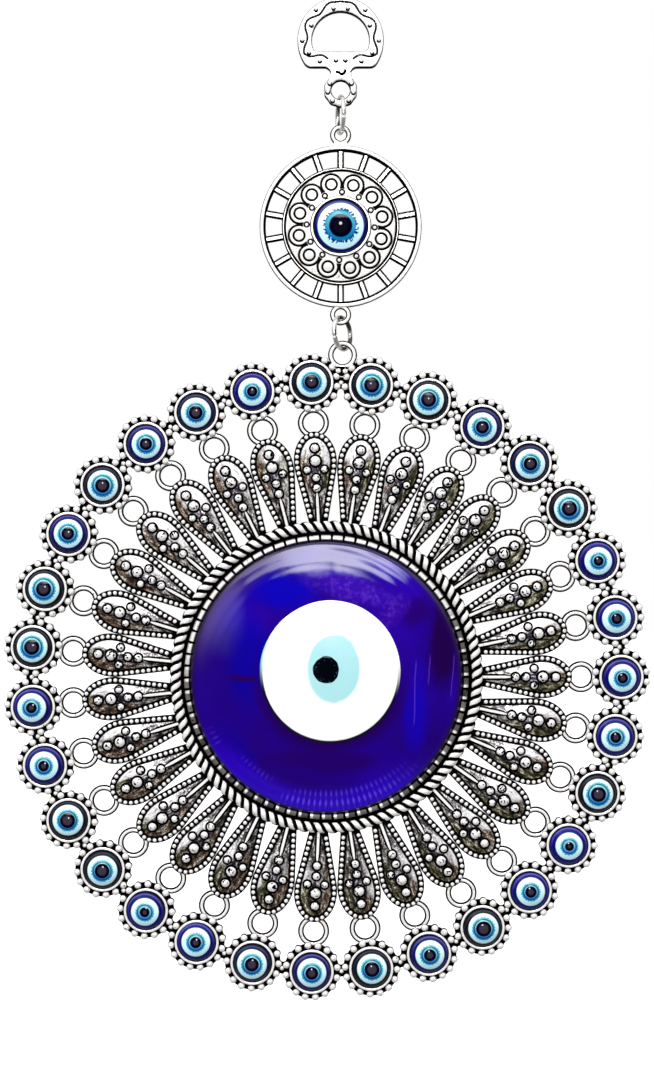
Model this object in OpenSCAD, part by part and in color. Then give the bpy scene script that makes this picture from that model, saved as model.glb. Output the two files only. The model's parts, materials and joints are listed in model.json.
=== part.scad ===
// Evil eye hanging ornament: a cast hanger, two wire jump rings, a spoked medallion with an
// eye stone, and a flower pendant with a fused glass eye inside a rim of eye stones.
// +X is right, +Z is up and the front faces -Y. The origin is the point that a hook or nail
// bears on, at the top of the hanger's opening. Heights h are counted forward, towards -Y.

/* [Hanger] */
// Outer radius of the hanger's round top
hanger_r = 11; // [10.6:0.1:11.4]
// Radius of the round opening that goes over the hook
opening_r = 7.3; // [6.8:0.1:7.5]
// Thickness of the hanger, front to back
hanger_t = 3; // [2.6:0.1:3.4]
// Radius of the round eye under the hanger
eye_r = 4.2; // [4:0.1:4.4]
// Radius of the hole in that eye
eye_hole_r = 2.37; // [2.2:0.05:2.5]

/* [Jump rings] */
// Wire thickness of both jump rings
wire_d = 1.2; // [1:0.05:1.3]
// Radius of the upper jump ring, to the middle of the wire
upper_ring_r = 4.6; // [4.4:0.1:5]
// Radius of the lower jump ring, to the middle of the wire
lower_ring_r = 4.1; // [3.9:0.1:4.5]
// How far the upper jump ring is turned from edge-on
upper_ring_turn = 9.6; // [0:0.1:12]
// How far the lower jump ring is turned from edge-on
lower_ring_turn = -30; // [-32:1:0]
// How far the lower jump ring leans to the side
lower_ring_lean = -5.6; // [-8:0.1:0]

/* [Medallion] */
// Outer radius of the spoked medallion
medallion_r = 20.65; // [20:0.05:21.2]
// Number of spokes between hub and rim
spoke_count = 18; // [12:1:24]
// Radius of the domed hub inside the spokes
hub_r = 15.0; // [14:0.1:15.5]
// Number of small rings around the medallion's stone
rosette_count = 12; // [8:1:12]
// Radius of the medallion's eye stone
medallion_stone_r = 6.95; // [6.5:0.05:7]

/* [Pendant] */
// Number of petals, which is the number of rim stones too
petal_count = 31; // [31:1:31]
// Radius of the circle of rim stones
stone_circle_r = 75.13; // [75:0.01:75.4]
// Radius of one rim stone
stone_r = 5; // [4.8:0.05:5]
// Sideways lean of the hanging pendant
pendant_lean = 2.88; // [0:0.01:4]
// Radius of the centre glass
glass_r = 34.9; // [34:0.1:34.9]
// How far the glass rises in the middle above its edge
glass_dome = 5; // [3:0.5:6]

/* [Hidden] */
$fn = 64;
wire_r = wire_d / 2;
// Free space between a wire and the loop that it hangs in
link_gap = 0.2;
// Overlap that joins shapes of one piece
bite = 0.4;
// Free space around a stone in its cup
stone_gap = 0.05;

// Hanger
hanger_mid_z = -opening_r;
hanger_flat_z = -14.2;
opening_flat_z = -10.15;
eye_z = -20;
neck_half_w = 2.45;
eye_t = 2.4;

// Chain of links, from the top down
upper_ring_top_z = eye_z - eye_hole_r + link_gap + wire_r;
upper_ring_z = upper_ring_top_z - upper_ring_r;
medallion_loop_r = 2.05;
medallion_loop_wire_r = 0.65;
medallion_bar_z = upper_ring_z - upper_ring_r + wire_r + link_gap + medallion_loop_wire_r;
medallion_top_loop_z = medallion_bar_z - medallion_loop_r;
medallion_z = medallion_top_loop_z - medallion_r - 2.65;
medallion_low_loop_z = medallion_z - medallion_r - 1.85;
lower_ring_top_z = medallion_low_loop_z - medallion_loop_r + medallion_loop_wire_r + link_gap + wire_r;
pendant_loop_r = 3;
pendant_loop_wire_r = 0.7;
pendant_bar_drop = 2 * lower_ring_r - wire_r - link_gap - pendant_loop_wire_r;
pendant_bar_x = -pendant_bar_drop * sin(lower_ring_lean);
pendant_bar_z = lower_ring_top_z - pendant_bar_drop * cos(lower_ring_lean);
pendant_loop_at = 82.15;
pendant_bar_at = pendant_loop_at + pendant_loop_r;

// Medallion
rim_w = 1.3;
rim_t = 2;
spoke_w = 0.9;
hub_front_h = 1.6;
hub_border_w = 1.1;
rosette_at = 11.1;
rosette_r = 1.9;
rosette_hole_r = 1.05;
medallion_bezel_w = 0.6;
medallion_back_h = -1.1;
medallion_seat_h = 0.4;
medallion_stone_top_h = 4.4;

// Pendant, in its own plane with the loop straight up and its middle at the origin
pendant_back_h = -1.5;
pitch = 360 / petal_count;
rope_at = 38.4;
rope_r = 1.5;
rope_h = 0.6;
collar_in_r = 37.2;
collar_out_r = 39.6;
petal_root_r = 39.3;
petal_root_half_w = 2.1;
petal_mid_r = 55.1;
petal_half_w = 5.33;
petal_tip_a = 7.4;
petal_end_r = 61.2;
petal_front_h = 0.6;
petal_back_h = -1.3;
petal_dome_h = 1.5;
link_at = 64.9;
link_r = 3.9;
link_hole_r = 2.4;
link_front_h = 0.7;
link_back_h = -1.1;
cup_base_r = 7.55;
cup_base_h = 0.2;
cup_wall_r = 5.5;
cup_wall_h = 1.3;
cup_floor_h = -0.3;
web_in_r = 73;
web_out_r = 77.2;
web_front_h = -0.3;
stone_top_h = 3.6;
stone_edge_h = 1;

// Centre glass and its setting
setting_floor_h = -0.6;
setting_wall_r = 36.2;
setting_wall_h = 2.2;
glass_edge_h = 2;
glass_curve_r = (glass_r * glass_r + glass_dome * glass_dome) / (2 * glass_dome);
white_r = 17.8;
white_t = 0.35;
iris_half_w = 6.25;
iris_half_h = 8.3;
iris_t = 0.25;
pupil_r = 3.3;
pupil_t = 0.2;

function stone_name(i) = str("rim_stone_", i < 10 ? "0" : "", i);

// Plate cut from a flat outline, drawn as seen from the front
module plate(back_h, front_h) {
    translate([0, -back_h, 0])
        rotate([90, 0, 0])
            linear_extrude(front_h - back_h)
                children();
}

// Round bar or disc across the ornament's thickness
module disc(r, back_h, front_h) {
    plate(back_h, front_h)
        circle(r);
}

// Ring of round wire that lies flat, facing front
module wire_loop(ring_r, thick_r, h) {
    translate([0, -h, 0])
        rotate([90, 0, 0])
            rotate_extrude()
                translate([ring_r, 0])
                    circle(thick_r);
}

// Ring with a square section that lies flat, facing front
module flat_ring(out_r, in_r, back_h, front_h) {
    plate(back_h, front_h)
        difference() {
            circle(out_r);
            circle(in_r);
        }
}

// Polished dome stone with a straight edge up to edge_h
module cabochon(r, seat_h, edge_h, top_h) {
    rise = top_h - edge_h;
    curve_r = (r * r + rise * rise) / (2 * rise);
    intersection() {
        disc(r, seat_h, top_h);
        translate([0, curve_r - top_h, 0])
            sphere(curve_r, $fn = 160);
    }
}

// Jump ring that hangs from the middle of its top wire
module jump_ring(ring_r, turn, lean) {
    rotate([0, lean, 0])
        rotate([0, 0, turn])
            translate([0, 0, -ring_r])
                rotate([0, 90, 0])
                    rotate_extrude()
                        translate([ring_r, 0])
                            circle(wire_r);
}

module hanger_outline() {
    difference() {
        union() {
            intersection() {
                translate([0, hanger_mid_z])
                    circle(hanger_r, $fn = 120);
                translate([-hanger_r, hanger_flat_z])
                    square([2 * hanger_r, 3 * hanger_r]);
            }
            translate([-neck_half_w, eye_z + eye_hole_r + 1])
                square([2 * neck_half_w, hanger_flat_z - eye_z]);
        }
        intersection() {
            translate([0, hanger_mid_z])
                circle(opening_r, $fn = 120);
            translate([-opening_r, opening_flat_z])
                square([2 * opening_r, 2 * opening_r]);
        }
    }
}

module hanger() {
    color("silver")
        difference() {
            union() {
                plate(-hanger_t / 2, hanger_t / 2)
                    hanger_outline();
                translate([0, 0, eye_z])
                    disc(eye_r, -eye_t / 2, eye_t / 2);
            }
            translate([0, 0, eye_z])
                disc(eye_hole_r, -hanger_t, hanger_t);
        }
}

module upper_jump_ring() {
    color("gainsboro")
        translate([0, 0, upper_ring_top_z])
            jump_ring(upper_ring_r, upper_ring_turn, 0);
}

// Hub plate with its raised border, rosette rings and stone bezel
module medallion_hub() {
    bezel_r = medallion_stone_r + medallion_bezel_w;
    disc(hub_r, medallion_back_h, hub_front_h - 0.5);
    flat_ring(hub_r - 0.1, hub_r - hub_border_w, 0, hub_front_h);
    disc(bezel_r, 0, hub_front_h + 0.8);
    for (i = [0:rosette_count - 1])
        rotate([0, 360 / rosette_count * (i + 0.5) + 2.7, 0])
            translate([0, 0, rosette_at])
                flat_ring(rosette_r, rosette_hole_r, 0, hub_front_h - 0.1);
}

module medallion_spokes() {
    spoke_in = hub_r - bite;
    spoke_out = medallion_r - rim_w + bite;
    for (i = [0:spoke_count - 1])
        rotate([0, 360 / spoke_count * i, 0])
            translate([-spoke_w / 2, -rim_t / 2 + 0.3, spoke_in])
                cube([spoke_w, rim_t - 0.6, spoke_out - spoke_in]);
}

module medallion_frame() {
    foot_w = 3.4;
    top_at = medallion_top_loop_z - medallion_z;
    low_at = medallion_low_loop_z - medallion_z;
    foot_low = medallion_r - rim_w + 0.3;
    foot_top = top_at - medallion_loop_r + 0.3;
    color("silver")
        translate([0, 0, medallion_z])
            difference() {
                union() {
                    flat_ring(medallion_r, medallion_r - rim_w, -rim_t / 2, rim_t / 2);
                    medallion_spokes();
                    medallion_hub();
                    translate([0, 0, top_at])
                        wire_loop(medallion_loop_r, medallion_loop_wire_r, 0);
                    translate([-foot_w / 2, -0.7, foot_low])
                        cube([foot_w, 1.4, foot_top - foot_low]);
                    translate([0, 0, low_at])
                        wire_loop(medallion_loop_r, medallion_loop_wire_r, 0);
                }
                disc(medallion_stone_r + stone_gap, medallion_seat_h, hub_front_h + 2);
            }
}

module medallion_stone() {
    color("navy")
        translate([0, 0, medallion_z])
            cabochon(medallion_stone_r, medallion_seat_h, hub_front_h + 0.6, medallion_stone_top_h);
}

module lower_jump_ring() {
    color("gainsboro")
        translate([0, 0, lower_ring_top_z])
            jump_ring(lower_ring_r, lower_ring_turn, lower_ring_lean);
}

// Puts a shape of the pendant where the pendant hangs
module pendant_frame() {
    translate([pendant_bar_x, 0, pendant_bar_z])
        rotate([0, pendant_lean, 0])
            translate([0, 0, -pendant_bar_at])
                children();
}

// Puts a shape at radius r on the axis of petal i
module on_petal(i, r) {
    rotate([0, (i - 0.5) * pitch, 0])
        translate([0, 0, r])
            children();
}

// Right half of a petal: a straight side, then an elliptic arc up to the flat tip
function petal_side() = concat(
    [[petal_root_half_w, petal_root_r]],
    [for (t = [-30:15:45]) [petal_half_w * cos(t), petal_mid_r + petal_tip_a * sin(t)]],
    [[petal_half_w * sqrt(1 - pow((petal_end_r - petal_mid_r) / petal_tip_a, 2)), petal_end_r]]
);

module petal_outline() {
    side = petal_side();
    polygon(concat(side, [for (k = [len(side) - 1:-1:0]) [-side[k][0], side[k][1]]]));
}

module glass_setting() {
    color("dimgray")
        pendant_frame()
            difference() {
                union() {
                    disc(collar_in_r, pendant_back_h, setting_floor_h);
                    disc(setting_wall_r, -1, setting_wall_h);
                }
                disc(glass_r + stone_gap, setting_floor_h, setting_wall_h + 1);
            }
}

module petal_collar() {
    boss_r = 1.55;
    color("silver")
        pendant_frame() {
            wire_loop(rope_at, rope_r, rope_h);
            flat_ring(collar_out_r, collar_in_r, pendant_back_h, -0.2);
            for (i = [1:petal_count]) {
                rotate([0, (i - 0.5) * pitch, 0])
                    plate(petal_back_h, petal_front_h)
                        petal_outline();
                on_petal(i, petal_mid_r)
                    disc(boss_r, 0, petal_dome_h);
            }
        }
}

// Cup, link ring and web of the rim, one for each petal
module rim_solids() {
    flat_ring(web_out_r, web_in_r, pendant_back_h, web_front_h);
    for (i = [1:petal_count]) {
        on_petal(i, stone_circle_r)
            disc(cup_base_r, pendant_back_h, cup_base_h);
        on_petal(i, stone_circle_r)
            disc(cup_wall_r, -1, cup_wall_h);
        on_petal(i, link_at)
            disc(link_r, link_back_h, link_front_h);
    }
    translate([0, 0, pendant_loop_at])
        wire_loop(pendant_loop_r, pendant_loop_wire_r, 0);
    translate([-1.5, -0.6, web_out_r - bite])
        cube([3, 1.2, pendant_loop_at - pendant_loop_r - web_out_r + bite]);
}

module rim_cuts() {
    tip_gap = link_at - petal_end_r;
    for (i = [1:petal_count]) {
        on_petal(i, stone_circle_r)
            disc(stone_r + stone_gap, cup_floor_h, cup_wall_h + 1);
        on_petal(i, link_at)
            disc(link_hole_r, -2, 2);
        on_petal(i, link_at)
            translate([-link_r, -2, -link_r - tip_gap])
                cube([2 * link_r, 4, link_r]);
    }
}

module stone_cups() {
    color("silver")
        pendant_frame()
            difference() {
                rim_solids();
                rim_cuts();
            }
}

module eye_glass() {
    color("midnightblue")
        pendant_frame()
            cabochon(glass_r, setting_floor_h, glass_edge_h, glass_edge_h + glass_dome);
}

// Thin layer that follows the glass dome from rise to rise + t, cut to an outline
module dome_layer(rise, t) {
    low_r = glass_curve_r + rise;
    mid_y = glass_curve_r - glass_edge_h - glass_dome;
    top_h = glass_edge_h + glass_dome + 2;
    intersection() {
        plate(glass_edge_h, top_h)
            children();
        translate([0, mid_y, 0])
            difference() {
                sphere(low_r + t, $fn = 200);
                sphere(low_r, $fn = 200);
            }
    }
}

module ellipse_outline(half_w, half_h) {
    polygon([for (t = [0:12:348]) [half_w * cos(t), half_h * sin(t)]]);
}

module eye_white() {
    color("white")
        pendant_frame()
            dome_layer(0, white_t)
                translate([0.8, 1.8])
                    circle(white_r);
}

module eye_iris() {
    color("paleturquoise")
        pendant_frame()
            dome_layer(white_t, iris_t)
                translate([1.7, 2.3])
                    ellipse_outline(iris_half_w, iris_half_h);
}

module eye_pupil() {
    color("black")
        pendant_frame()
            dome_layer(white_t + iris_t, pupil_t)
                translate([-0.2, 2.1])
                    circle(pupil_r);
}

module rim_stone(i) {
    color("royalblue")
        pendant_frame()
            on_petal(i, stone_circle_r)
                cabochon(stone_r, cup_floor_h, stone_edge_h, stone_top_h);
}

hanger();
upper_jump_ring();
medallion_frame();
medallion_stone();
lower_jump_ring();
glass_setting();
petal_collar();
stone_cups();
eye_glass();
eye_white();
eye_iris();
eye_pupil();
for (i = [1:petal_count])
    rim_stone(i);
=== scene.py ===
"""Evil eye hanging ornament: its looks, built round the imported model.

Shapes are made in millimetres in a flat frame of their own: u is right, v is up and h is
forward, towards the viewer. A Place then puts them in the world, in metres.
"""

import json
import math

import bmesh
import bpy
import numpy as np
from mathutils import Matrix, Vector


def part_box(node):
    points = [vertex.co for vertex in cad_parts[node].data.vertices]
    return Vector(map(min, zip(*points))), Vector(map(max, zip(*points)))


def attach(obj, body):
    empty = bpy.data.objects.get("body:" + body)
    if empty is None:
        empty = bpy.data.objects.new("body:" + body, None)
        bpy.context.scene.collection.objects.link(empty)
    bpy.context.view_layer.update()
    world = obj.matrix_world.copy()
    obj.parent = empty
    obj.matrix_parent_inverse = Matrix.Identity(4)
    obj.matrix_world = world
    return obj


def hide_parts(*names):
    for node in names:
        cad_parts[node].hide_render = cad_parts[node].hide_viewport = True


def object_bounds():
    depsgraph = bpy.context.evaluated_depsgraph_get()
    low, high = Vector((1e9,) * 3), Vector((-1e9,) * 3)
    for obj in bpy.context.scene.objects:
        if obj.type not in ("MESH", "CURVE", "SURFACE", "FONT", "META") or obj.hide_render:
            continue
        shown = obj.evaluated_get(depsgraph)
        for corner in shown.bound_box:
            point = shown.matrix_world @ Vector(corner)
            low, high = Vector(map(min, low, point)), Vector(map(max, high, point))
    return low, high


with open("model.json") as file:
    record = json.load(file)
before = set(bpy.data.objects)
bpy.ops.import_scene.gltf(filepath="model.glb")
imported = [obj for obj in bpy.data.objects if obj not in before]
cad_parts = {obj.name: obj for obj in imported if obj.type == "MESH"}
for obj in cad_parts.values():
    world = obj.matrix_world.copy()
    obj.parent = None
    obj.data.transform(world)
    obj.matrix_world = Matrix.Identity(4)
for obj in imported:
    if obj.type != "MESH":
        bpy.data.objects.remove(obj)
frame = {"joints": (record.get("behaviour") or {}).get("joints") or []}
cad_low, cad_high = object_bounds()

MM = 0.001
TURN = 2 * math.pi
rng = np.random.default_rng(7)

# Driving sizes, in millimetres
PETALS = 31
PITCH = TURN / PETALS
ROPE_AT = 38.4
ROPE_R = 1.5
ROPE_H = 0.6
LINK_AT = 64.9
CUPS_AT = 75.13
STONE_R = 5.0
LOOP_AT = 82.15
BACK_H = -1.5
GLASS_R = 34.9
WHITE_R = 17.8

# How bright a white surface that faces the viewer is in the lamps' light
LAMPLIGHT = 1.35


# ---------------------------------------------------------------- mesh code

class Shape:
    """Closed shells of one piece, with a tone for each point: 0 is polished, 1 is black.

    Each point also keeps its marks: where it lies in the first flat frame it was made in, and
    the number of the copy that it is part of.
    """

    def __init__(self):
        self.points = []
        self.tones = []
        self.marks = []
        self.faces = []
        self.size = 0

    def add(self, points, faces, tones, marks=None):
        points = np.asarray(points, float).reshape(-1, 3)
        if marks is None:
            marks = points * np.array([1.0, 1.0, 0.0])
        self.points.append(points)
        self.marks.append(marks)
        self.tones.append(np.broadcast_to(np.asarray(tones, float).ravel(), (len(points),)))
        for corners in faces:
            self.faces.append(np.asarray(corners) + self.size)
        self.size += len(points)

    def add_shape(self, other, turn=0.0, shift=(0.0, 0.0, 0.0), number=0.0):
        """A copy of another shape, turned clockwise about the middle and then shifted."""
        points = np.concatenate(other.points)
        c = math.cos(turn)
        s = math.sin(turn)
        u = points[:, 0] * c + points[:, 1] * s
        v = points[:, 1] * c - points[:, 0] * s
        moved = np.stack([u, v, points[:, 2]], -1) + np.asarray(shift, float)
        marks = np.concatenate(other.marks) + np.array([0.0, 0.0, number])
        self.add(moved, other.faces, np.concatenate(other.tones), marks)


class Place:
    """Where a flat frame lies: its middle in the world, and its clockwise lean."""

    def __init__(self, x, z, lean=0.0):
        self.x = x
        self.z = z
        self.lean = lean

    def world(self, points):
        c = math.cos(self.lean)
        s = math.sin(self.lean)
        x = self.x + (points[:, 0] * c + points[:, 1] * s) * MM
        z = self.z + (points[:, 1] * c - points[:, 0] * s) * MM
        return np.stack([x, -points[:, 2] * MM, z], -1)


def grid(rows, cols, wrap_rows=False, wrap_cols=False):
    """Corners of the squares between rows and columns of points."""
    i = np.arange(rows if wrap_rows else rows - 1)
    j = np.arange(cols if wrap_cols else cols - 1)
    i, j = np.meshgrid(i, j, indexing="ij")
    i_next = (i + 1) % rows
    j_next = (j + 1) % cols
    corners = [i * cols + j, i_next * cols + j, i_next * cols + j_next, i * cols + j_next]
    return np.stack(corners, -1).reshape(-1, 4)


def table(values, rows, cols):
    """Values for each row, or for each row and column, as a full table."""
    values = np.asarray(values, float)
    if values.ndim == 1:
        values = values.reshape(rows, 1)
    return np.broadcast_to(values, (rows, cols))


def ring(shape, radius, height, tone, count, centre=(0.0, 0.0)):
    """Ring whose section runs from its outside over the front, inside and back."""
    rows = len(radius)
    turn = TURN * np.arange(count) / count
    radius = table(radius, rows, count)
    points = [centre[0] + radius * np.sin(turn), centre[1] + radius * np.cos(turn),
              table(height, rows, count)]
    shape.add(np.stack(points, -1), [grid(rows, count, True, True)], table(tone, rows, count))


def skin(rows, count):
    """Faces of a shell of closed rows whose last two points are its back and front poles."""
    j = np.arange(count)
    j_next = (j + 1) % count
    back_pole = rows * count
    front_row = (rows - 1) * count
    back_fan = np.stack([np.full(count, back_pole), j, j_next], -1)
    front_fan = np.stack([front_row + j, np.full(count, back_pole + 1), front_row + j_next], -1)
    return [grid(rows, count, False, True), back_fan, front_fan]


def turned(shape, profile, count, centre=(0.0, 0.0)):
    """Solid turned round an axis; profile rows are (radius, height, tone), back to front."""
    profile = np.asarray(profile, float)
    inner = profile[1:-1]
    rows = len(inner)
    turn = TURN * np.arange(count) / count
    radius = table(inner[:, 0], rows, count)
    points = np.stack([centre[0] + radius * np.sin(turn), centre[1] + radius * np.cos(turn),
                       table(inner[:, 1], rows, count)], -1).reshape(-1, 3)
    poles = [[centre[0], centre[1], profile[k][1]] for k in (0, -1)]
    tones = np.concatenate([table(inner[:, 2], rows, count).ravel(),
                            [profile[0][2], profile[-1][2]]])
    shape.add(np.concatenate([points, poles]), skin(rows, count), tones)


def loft(shape, loops, tones, cap_end=True):
    """Solid through closed loops of points that have the same number of points each."""
    loops = np.asarray(loops, float)
    rows, count = loops.shape[:2]
    faces = [grid(rows, count, False, True), np.arange(count)[None, ::-1]]
    if cap_end:
        faces.append(((rows - 1) * count + np.arange(count))[None, :])
    shape.add(loops, faces, np.broadcast_to(tones, (rows, count)))


def block(shape, low, high, tone, bevel=0.15):
    """Block with its front edges eased off, from its low to its high corner."""
    u0, v0, h0 = low
    u1, v1, h1 = high
    loops = []
    for inset, h in ((0.0, h0), (0.0, h1 - bevel), (bevel, h1)):
        loops.append([(u0 + inset, v0 + inset, h), (u1 - inset, v0 + inset, h),
                      (u1 - inset, v1 - inset, h), (u0 + inset, v1 - inset, h)])
    loft(shape, loops, tone)


def bead(radius, middle_h, low_h, count=12, steps=4, rise=1.0, dark=0.45):
    """Half ball on a post; the share of its height below dark is black."""
    profile = [(0.0, low_h, 1.0), (radius, low_h, 1.0)]
    for k in range(steps):
        lift = math.pi / 2 * k / steps
        # Black low on the ball: patina at its foot and painted shade round its edge, where it rounds away
        tone = 1.0 - smooth(dark * 0.7, dark * 1.3 + 0.01, math.sin(lift))
        profile.append((radius * math.cos(lift), middle_h + radius * rise * math.sin(lift), tone))
    profile.append((0.0, middle_h + radius * rise, 0.0))
    shape = Shape()
    turned(shape, profile, count)
    return shape


def smooth(low, high, value):
    """0 below low, 1 above high, and a soft step between."""
    t = np.clip((np.asarray(value, float) - low) / (high - low), 0.0, 1.0)
    return t * t * (3 - 2 * t)


def tube(shape, path, radius, tone, sides):
    """Round wire along a path of points, with rounded ends."""
    path = np.asarray(path, float)
    count = len(path)
    along = np.gradient(path, axis=0)
    along /= np.linalg.norm(along, axis=1)[:, None]
    normal = np.cross(path[0] - path[count // 3], path[0] - path[2 * count // 3])
    normal /= np.linalg.norm(normal)
    side = np.cross(along, normal)
    turn = TURN * np.arange(sides) / sides
    circle = np.cos(turn)[None, :, None] * side[:, None] + np.sin(turn)[None, :, None] * normal
    ends = np.full(count, 1.0)
    ends[[0, -1]] = 0.6
    loft(shape, path[:, None] + radius * ends[:, None, None] * circle, tone)


def distance_to_path(points, path):
    """Distance from each flat point to a path of straight stretches."""
    best = np.full(len(points), 1e9)
    for a, b in zip(path[:-1], path[1:]):
        step = b - a
        share = np.clip(((points - a) @ step) / (step @ step), 0.0, 1.0)
        best = np.minimum(best, np.linalg.norm(points - a - share[:, None] * step, axis=1))
    return best


def curve_through(knots, steps=8):
    """Smooth curve through knots, by cubic stretches between them."""
    knots = np.asarray(knots, float)
    ends = np.concatenate([[2 * knots[0] - knots[1]], knots, [2 * knots[-1] - knots[-2]]])
    points = []
    for p0, p1, p2, p3 in zip(ends[:-3], ends[1:-2], ends[2:-1], ends[3:]):
        for k in range(steps):
            t = k / steps
            points.append(0.5 * (2 * p1 + (p2 - p0) * t + (2 * p0 - 5 * p1 + 4 * p2 - p3) * t * t
                                 + (3 * p1 - p0 - 3 * p2 + p3) * t ** 3))
    points.append(knots[-1])
    return np.array(points)


def carry(mesh, name, kind, values):
    """Numbers that the mesh keeps for each of its points."""
    field = "value" if kind == "FLOAT" else "vector"
    data = mesh.attributes.new(name, kind, "POINT").data
    data.foreach_set(field, np.asarray(values, np.float32).ravel())


def piece(name, shape, place, body, material, slot, nodes=(), spot=None, bands=None,
          weld=False, crease=38, keep_marks=False):
    """Object from a shape. spot is (u, v, radius, shade) of what its pattern is centred on."""
    local = np.concatenate(shape.points)
    corners = []
    for group in shape.faces:
        corners.extend(group.tolist())
    mesh = bpy.data.meshes.new(name)
    mesh.from_pydata(place.world(local).tolist(), [], corners)
    carry(mesh, "tone", "FLOAT", np.concatenate(shape.tones))
    if spot is not None:
        flat = np.full((len(local), 3), spot[3], float)
        flat[:, :2] = (local[:, :2] - spot[:2]) / spot[2]
        carry(mesh, "spot", "FLOAT_VECTOR", flat)
    if keep_marks:
        carry(mesh, "marks", "FLOAT_VECTOR", np.concatenate(shape.marks))
    if bands is not None:
        carry(mesh, "bands", "FLOAT_VECTOR", np.tile(bands, len(local)))
    work = bmesh.new()
    work.from_mesh(mesh)
    if weld:
        bmesh.ops.remove_doubles(work, verts=work.verts, dist=1e-7)
        bmesh.ops.dissolve_degenerate(work, edges=work.edges, dist=1e-8)
    bmesh.ops.recalc_face_normals(work, faces=work.faces)
    work.to_mesh(mesh)
    work.free()
    mesh.shade_smooth()
    mesh.set_sharp_from_angle(angle=math.radians(crease))
    mesh.materials.append(material)
    made = bpy.data.objects.new(name, mesh)
    bpy.context.scene.collection.objects.link(made)
    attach(made, body)
    if nodes:
        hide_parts(*nodes)
    return made


# ---------------------------------------------------------------- materials

def srgb(red, green, blue):
    """Colour for a shader from the 0 to 255 numbers of a picture."""
    linear = []
    for part in (red, green, blue):
        c = part / 255
        linear.append(c / 12.92 if c <= 0.04045 else ((c + 0.055) / 1.055) ** 2.4)
    return (*linear, 1.0)


def seen(red, green, blue):
    """Base colour that shows as these picture numbers where the stage's lamps fall on it."""
    linear = srgb(red, green, blue)
    return (linear[0] / LAMPLIGHT, linear[1] / LAMPLIGHT, linear[2] / LAMPLIGHT, 1.0)


class Signal:
    """What a shader node gives, with the arithmetic of Math nodes."""

    def __init__(self, nodes, socket):
        self.nodes = nodes
        self.socket = socket

    def __add__(self, other):
        return self.nodes.math("ADD", self, other)

    def __sub__(self, other):
        return self.nodes.math("SUBTRACT", self, other)

    def __mul__(self, other):
        return self.nodes.math("MULTIPLY", self, other)

    def __truediv__(self, other):
        return self.nodes.math("DIVIDE", self, other)

    def __abs__(self):
        return self.nodes.math("ABSOLUTE", self)


class Nodes:
    """Node tree, with a short call for each kind of node."""

    def __init__(self, tree):
        self.tree = tree

    def put(self, socket, value):
        if isinstance(value, Signal):
            self.tree.links.new(value.socket, socket)
        else:
            socket.default_value = value

    def node(self, kind, settings, values, output=0):
        """Signal from a new node whose inputs are given in their order."""
        node = self.tree.nodes.new("ShaderNode" + kind)
        for name, value in settings.items():
            setattr(node, name, value)
        for k, value in values.items():
            self.put(node.inputs[k], value)
        return Signal(self, node.outputs[output])

    def math(self, operation, a, b=0.0):
        return self.node("Math", {"operation": operation}, {0: a, 1: b})

    def step(self, value, low, high, out_low=0.0, out_high=1.0):
        values = dict(enumerate((value, low, high, out_low, out_high)))
        return self.node("MapRange", {"interpolation_type": "SMOOTHSTEP"}, values)

    def mix(self, share, a, b):
        return self.node("Mix", {"data_type": "RGBA"}, {0: share, 6: a, 7: b}, 2)

    def ramp(self, value, stops):
        node = self.tree.nodes.new("ShaderNodeValToRGB")
        keys = node.color_ramp.elements
        while len(keys) < len(stops):
            keys.new(0.5)
        for key, (place, colour) in zip(keys, stops):
            key.position = place
            key.color = colour
        self.put(node.inputs[0], value)
        return Signal(self, node.outputs[0])

    def length(self, a, b):
        return self.math("SQRT", a * a + b * b)

    def where(self, kind):
        """Coordinates of a kind: Object, Normal or Generated."""
        return self.node("TexCoord", {}, {}, kind)

    def split(self, vector):
        """The three numbers of a vector."""
        node = self.tree.nodes.new("ShaderNodeSeparateXYZ")
        self.put(node.inputs[0], vector)
        return [Signal(self, output) for output in node.outputs]

    def attribute(self, name, output):
        return self.node("Attribute", {"attribute_name": name}, {}, output)

    def noise(self, scale, detail=2.0, where=None):
        """Noise from 0 to 1, by default in the piece's own coordinates with spots per metre."""
        values = {"Vector": where or self.where("Object"), "Scale": scale, "Detail": detail}
        return self.node("TexNoise", {}, values, "Fac")


class Looks(Nodes):
    """Node material of one piece or more."""

    def __init__(self, name):
        self.material = bpy.data.materials.new(name)
        self.material.use_nodes = True
        super().__init__(self.material.node_tree)
        self.shader = self.tree.nodes["Principled BSDF"]

    def set(self, **values):
        """Sockets of the shader, by name with _ for each space."""
        for name, value in values.items():
            self.put(self.shader.inputs[name.replace("_", " ")], value)

    def tone(self):
        return self.attribute("tone", "Fac")

    def parts(self, name):
        """The three numbers of a vector that the mesh carries."""
        return self.split(self.attribute(name, "Vector"))

    def bump(self, height, strength, distance):
        values = {"Strength": strength, "Distance": distance, "Height": height}
        self.set(Normal=self.node("Bump", {}, values))


def cast_silver(name, metallic, polish, grain, specks, speck_from=0.70):
    """Silver-plated casting: polished high spots, black patina in the low ones, and painted shade on the
    dark sides and edges that the shapes mark.
    """
    looks = Looks(name)
    speckle = looks.noise(1100, 3.0)
    darkness = looks.tone() + (speckle - 0.5) * grain
    # Dark specks at random: partly wear, partly small dark reflections painted on
    dark_specks = looks.step(looks.noise(1500, 1.0), speck_from, speck_from + 0.05, 0.0, specks)
    darkness = darkness + dark_specks
    metal = looks.ramp(darkness, [(0.0, srgb(254, 253, 251)), (0.25, srgb(232, 229, 226)),
                              (0.45, srgb(128, 122, 118)), (0.65, srgb(22, 20, 20)), (1.0, srgb(4, 4, 4))])
    looks.set(Base_Color=metal, Metallic=looks.step(darkness, 0.5, 0.2, 0.0, metallic),
              Roughness=looks.step(darkness, 0.1, 0.9, polish, 0.6), Specular_IOR_Level=0.0)
    looks.bump(looks.noise(520, 3.0), 0.08, 0.0003)
    return looks.material


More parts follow.
